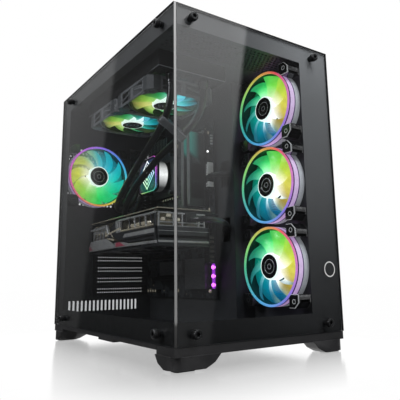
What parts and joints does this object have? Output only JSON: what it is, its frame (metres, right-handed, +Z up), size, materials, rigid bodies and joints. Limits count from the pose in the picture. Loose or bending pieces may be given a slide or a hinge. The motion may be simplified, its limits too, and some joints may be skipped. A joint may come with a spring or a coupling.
{
  "type": "desktop computer tower",
  "caption": "Dual-chamber desktop computer tower with glass front and side, lit fans, liquid cooler, graphics card and power supply.",
  "frame": {"origin": "on the floor under the centre of the whole part's bounding box, thumbscrew heads included", "axes": "+Z up; the front glass faces -Y; the side glass faces -X; the cable chamber is on +X"},
  "size_m": [0.2956, 0.452, 0.4598],
  "materials": {
    "black_plastic": "fine moulded texture",
    "rubber": "matte",
    "filter_mesh": "fine woven net",
    "black_steel": "fine powder coat",
    "screw_black": "satin black oxide",
    "tinted_glass": "clear, lightly tinted",
    "button_plastic": "polished",
    "port_metal": "satin",
    "circuit_board": "satin solder mask",
    "brass": "bright",
    "dark_aluminium": "anodised",
    "connector_plastic": "moulded",
    "display": "glossy cover over a lit panel",
    "radiator_black": "satin black",
    "tube_sleeve": "braided sleeve",
    "light_ring": "frosted light guide",
    "card_shroud": "satin grey and black",
    "copper_fins": "nickel and copper",
    "bright_steel": "satin",
    "drive_casting": "cast",
    "fan_frame_plastic": "satin",
    "clear_blade": "translucent",
    "black_blade": "satin"
  },
  "bodies": {
    "root": {"plinth": "black_plastic", "foot_pads": "rubber", "floor_panel": "black_steel", "rear_wall": "black_steel", "top_frame": "black_steel", "motherboard_tray": "black_steel", "fan_bracket": "black_steel", "front_pillar": "black_steel", "top_cover": "black_plastic", "io_ports": "port_metal", "slot_covers": "black_steel", "motherboard": "circuit_board", "board_standoffs": "brass", "rear_io_ports": "port_metal", "board_heatsinks": "dark_aluminium", "memory_slots": "connector_plastic", "memory_modules": "dark_aluminium", "expansion_slots": "connector_plastic", "cpu_bracket": "dark_aluminium", "pump_head": "black_plastic", "pump_display": "display", "radiator": "radiator_black", "coolant_tubes": "tube_sleeve", "tube_clip": "black_plastic", "side_fan_frame_1": "fan_frame_plastic", "side_fan_frame_2": "fan_frame_plastic", "side_fan_frame_3": "fan_frame_plastic", "top_fan_frame_1": "fan_frame_plastic", "top_fan_frame_2": "fan_frame_plastic", "rear_fan_frame": "fan_frame_plastic", "fan_light_rings": "light_ring", "gpu_board": "circuit_board", "gpu_shroud": "card_shroud", "gpu_heatsink": "copper_fins", "gpu_bracket": "bright_steel", "psu_case": "black_steel", "psu_inlet": "connector_plastic", "storage_drives": "drive_casting", "power_cables": "tube_sleeve"},
    "left_glass": {"left_glass": "tinted_glass", "left_glass_screws": "screw_black"},
    "front_glass": {"front_glass": "tinted_glass", "front_glass_screws": "screw_black"},
    "right_panel": {"right_panel": "black_steel", "right_panel_screws": "screw_black"},
    "top_filter": {"top_filter": "filter_mesh"},
    "bottom_filter": {"bottom_filter": "filter_mesh"},
    "power_button": {"power_button": "button_plastic"},
    "reset_button": {"reset_button": "button_plastic"},
    "psu_switch": {"psu_switch": "connector_plastic"},
    "side_fan_rotor_1": {"side_fan_rotor_1": "clear_blade"},
    "side_fan_rotor_2": {"side_fan_rotor_2": "clear_blade"},
    "side_fan_rotor_3": {"side_fan_rotor_3": "clear_blade"},
    "top_fan_rotor_1": {"top_fan_rotor_1": "clear_blade"},
    "top_fan_rotor_2": {"top_fan_rotor_2": "clear_blade"},
    "rear_fan_rotor": {"rear_fan_rotor": "clear_blade"},
    "gpu_fan_1": {"gpu_fan_1": "black_blade"},
    "gpu_fan_2": {"gpu_fan_2": "black_blade"},
    "gpu_fan_3": {"gpu_fan_3": "black_blade"},
    "psu_fan": {"psu_fan": "black_blade"}
  },
  "joints": [
    {"name": "left_glass_removal", "type": "slide", "parent": "root", "child": "left_glass", "axis": [-1, 0, 0], "range_m": [0, 0.15]},
    {"name": "front_glass_removal", "type": "slide", "parent": "root", "child": "front_glass", "axis": [0, -1, 0], "range_m": [0, 0.15]},
    {"name": "right_panel_slide", "type": "slide", "parent": "root", "child": "right_panel", "axis": [0, 1, 0], "range_m": [0, 0.43]},
    {"name": "top_filter_lift", "type": "slide", "parent": "root", "child": "top_filter", "axis": [0, 0, 1], "range_m": [0, 0.05]},
    {"name": "bottom_filter_pull", "type": "slide", "parent": "root", "child": "bottom_filter", "axis": [-1, 0, 0], "range_m": [0, 0.25]},
    {"name": "power_button_press", "type": "slide", "parent": "root", "child": "power_button", "axis": [0, 0, -1], "range_m": [0, 0.0015], "stiffness_N_per_m": 800, "springref_m": -0.0005},
    {"name": "reset_button_press", "type": "slide", "parent": "root", "child": "reset_button", "axis": [0, 0, -1], "range_m": [0, 0.0015], "stiffness_N_per_m": 800, "springref_m": -0.0005},
    {"name": "psu_switch_rock", "type": "hinge", "parent": "root", "child": "psu_switch", "pos_m": [0.0781, 0.2062, 0.0574], "axis": [1, 0, 0], "range_deg": [0, 16]},
    {"name": "side_fan_rotor_1_spin", "type": "hinge", "parent": "root", "child": "side_fan_rotor_1", "pos_m": [0.09125, -0.149, 0.372], "axis": [-1, 0, 0], "continuous": true},
    {"name": "side_fan_rotor_2_spin", "type": "hinge", "parent": "root", "child": "side_fan_rotor_2", "pos_m": [0.09125, -0.149, 0.247], "axis": [-1, 0, 0], "continuous": true},
    {"name": "side_fan_rotor_3_spin", "type": "hinge", "parent": "root", "child": "side_fan_rotor_3", "pos_m": [0.09125, -0.149, 0.122], "axis": [-1, 0, 0], "continuous": true},
    {"name": "top_fan_rotor_1_spin", "type": "hinge", "parent": "root", "child": "top_fan_rotor_1", "pos_m": [-0.05175, -0.039, 0.411], "axis": [0, 0, -1], "continuous": true},
    {"name": "top_fan_rotor_2_spin", "type": "hinge", "parent": "root", "child": "top_fan_rotor_2", "pos_m": [-0.05175, 0.081, 0.411], "axis": [0, 0, -1], "continuous": true},
    {"name": "rear_fan_rotor_spin", "type": "hinge", "parent": "root", "child": "rear_fan_rotor", "pos_m": [-0.07275, 0.208, 0.307], "axis": [0, -1, 0], "continuous": true},
    {"name": "gpu_fan_1_spin", "type": "hinge", "parent": "root", "child": "gpu_fan_1", "pos_m": [-0.03275, -0.0235, 0.167], "axis": [0, 0, -1], "continuous": true},
    {"name": "gpu_fan_2_spin", "type": "hinge", "parent": "root", "child": "gpu_fan_2", "pos_m": [-0.03275, 0.0665, 0.167], "axis": [0, 0, -1], "continuous": true},
    {"name": "gpu_fan_3_spin", "type": "hinge", "parent": "root", "child": "gpu_fan_3", "pos_m": [-0.03275, 0.1565, 0.167], "axis": [0, 0, -1], "continuous": true},
    {"name": "psu_fan_spin", "type": "hinge", "parent": "root", "child": "psu_fan", "pos_m": [0.1421, 0.1339, 0.1039], "axis": [-1, 0, 0], "continuous": true}
  ]
}
